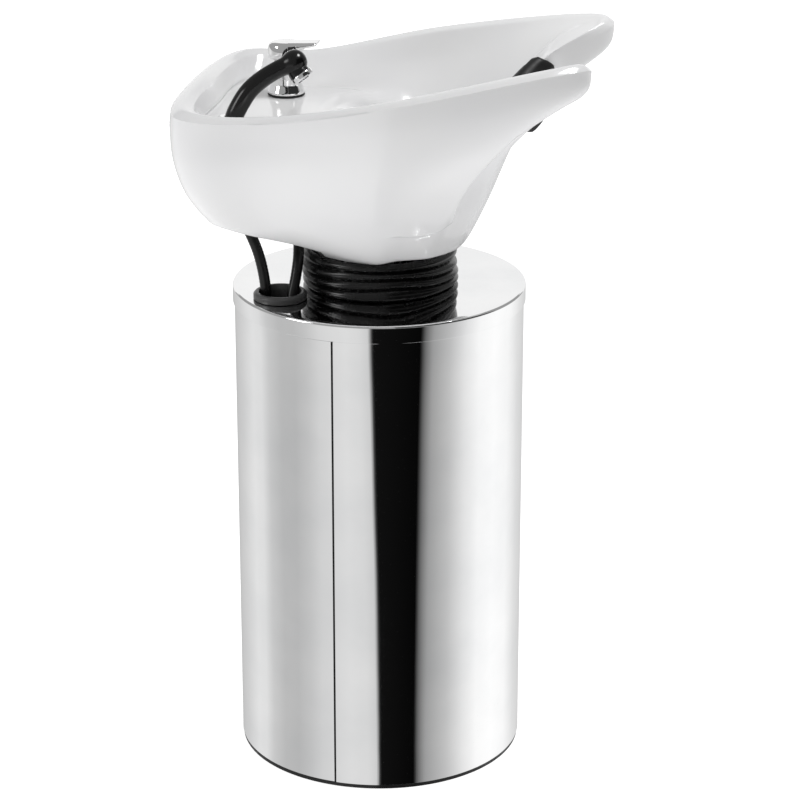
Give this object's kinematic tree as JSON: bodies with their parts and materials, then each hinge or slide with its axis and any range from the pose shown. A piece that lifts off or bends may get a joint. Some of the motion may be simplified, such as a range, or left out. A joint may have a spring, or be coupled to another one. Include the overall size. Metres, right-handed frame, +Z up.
{
  "type": "shampoo backwash unit",
  "caption": "Glazed salon wash basin with a neck notch, mixer and pull-out hand shower, tilting on a round stainless pedestal with an access door.",
  "frame": {"origin": "centre of the base plate's underside, on the floor", "axes": "+X towards the neck notch, -X towards the mixer, +Z up"},
  "size_m": [0.5634, 0.4652, 1.0329],
  "materials": {
    "mirror_steel": "polished stainless",
    "chrome": "polished",
    "steel": "satin",
    "dark_steel": "black powder coat",
    "brass": "satin",
    "ceramic": "white glazed ceramic",
    "rubber": "matte",
    "black_gloss": "glossy black",
    "grey_plastic": "matte",
    "white_plastic": "satin",
    "red_plastic": "gloss",
    "blue_plastic": "gloss"
  },
  "bodies": {
    "pedestal": {"base_plate": "dark_steel", "base_ring": "rubber", "post": "steel", "foot_bolt_1": "steel", "foot_bolt_2": "steel", "foot_bolt_3": "steel", "foot_bolt_4": "steel", "tilt_yoke": "steel", "top_cover": "mirror_steel", "hose_guide": "grey_plastic", "bellows": "rubber", "casing_shell": "mirror_steel", "hinge_leaf_fixed_lower": "steel", "hinge_leaf_fixed_upper": "steel", "door_seal": "rubber", "door_catch": "dark_steel", "hot_stop_valve": "chrome", "cold_stop_valve": "chrome", "pivot_bolt_left": "steel", "pivot_bolt_right": "steel", "pivot_nut_left": "steel", "pivot_nut_right": "steel", "friction_washer_left": "brass", "friction_washer_right": "brass", "waste_hose": "grey_plastic", "bottle_trap": "white_plastic", "waste_outlet": "white_plastic", "hot_supply_tail": "steel", "cold_supply_tail": "steel", "shower_hose": "rubber"},
    "door": {"access_door": "mirror_steel", "hinge_leaf_door_lower": "steel", "hinge_leaf_door_upper": "steel"},
    "basin_group": {"tilt_cradle": "steel", "pivot_bush_left": "white_plastic", "pivot_bush_right": "white_plastic", "basin_pad_left": "rubber", "basin_pad_right": "rubber", "basin_bolt_1": "steel", "basin_bolt_2": "steel", "basin": "ceramic", "neck_rest": "rubber", "waste_flange": "chrome", "waste_washer": "rubber", "waste_nut": "brass", "mixer_gasket": "rubber", "mixer_body": "chrome", "mixer_nut": "brass", "deck_bush": "chrome"},
    "strainer": {"waste_strainer": "chrome"},
    "mixer_swivel": {"mixer_cartridge_cap": "chrome"},
    "lever": {"mixer_lever": "chrome", "lever_plug": "black_gloss"},
    "handset": {"handset_body": "black_gloss", "spray_ring": "chrome", "spray_face": "grey_plastic", "hose_ferrule": "chrome"},
    "hot_handle": {"hot_valve_handle": "red_plastic"},
    "cold_handle": {"cold_valve_handle": "blue_plastic"}
  },
  "joints": [
    {"name": "basin_tilt", "type": "hinge", "parent": "pedestal", "child": "basin_group", "pos_m": [0, 0, 0.7], "axis": [0, 1, 0], "range_deg": [-6, 14], "deforming": ["bellows", "waste_hose", "hot_supply_tail", "cold_supply_tail", "shower_hose"]},
    {"name": "handset_pull", "type": "slide", "parent": "basin_group", "child": "handset", "axis": [0.1928, 0.0779, 0.9781], "range_m": [0, 0.08]},
    {"name": "lever_swivel", "type": "hinge", "parent": "basin_group", "child": "mixer_swivel", "pos_m": [-0.145, 0.08, 0.965], "axis": [0, 0, 1], "range_deg": [-40, 40]},
    {"name": "lever_lift", "type": "hinge", "parent": "mixer_swivel", "child": "lever", "pos_m": [-0.145, 0.08, 0.965], "axis": [0, -1, 0], "range_deg": [0, 25]},
    {"name": "strainer_lift", "type": "slide", "parent": "basin_group", "child": "strainer", "axis": [0, 0, 1], "range_m": [0, 0.03]},
    {"name": "door_swing", "type": "hinge", "parent": "pedestal", "child": "door", "pos_m": [-0.1771, 0.1022, 0.3], "axis": [0, 0, -1], "range_deg": [0, 110]},
    {"name": "hot_valve_turn", "type": "hinge", "parent": "pedestal", "child": "hot_handle", "pos_m": [-0.1576, 0.038, 0.41], "axis": [-1, 0, 0], "range_deg": [0, 90]},
    {"name": "cold_valve_turn", "type": "hinge", "parent": "pedestal", "child": "cold_handle", "pos_m": [-0.1576, -0.038, 0.41], "axis": [1, 0, 0], "range_deg": [0, 90]}
  ]
}
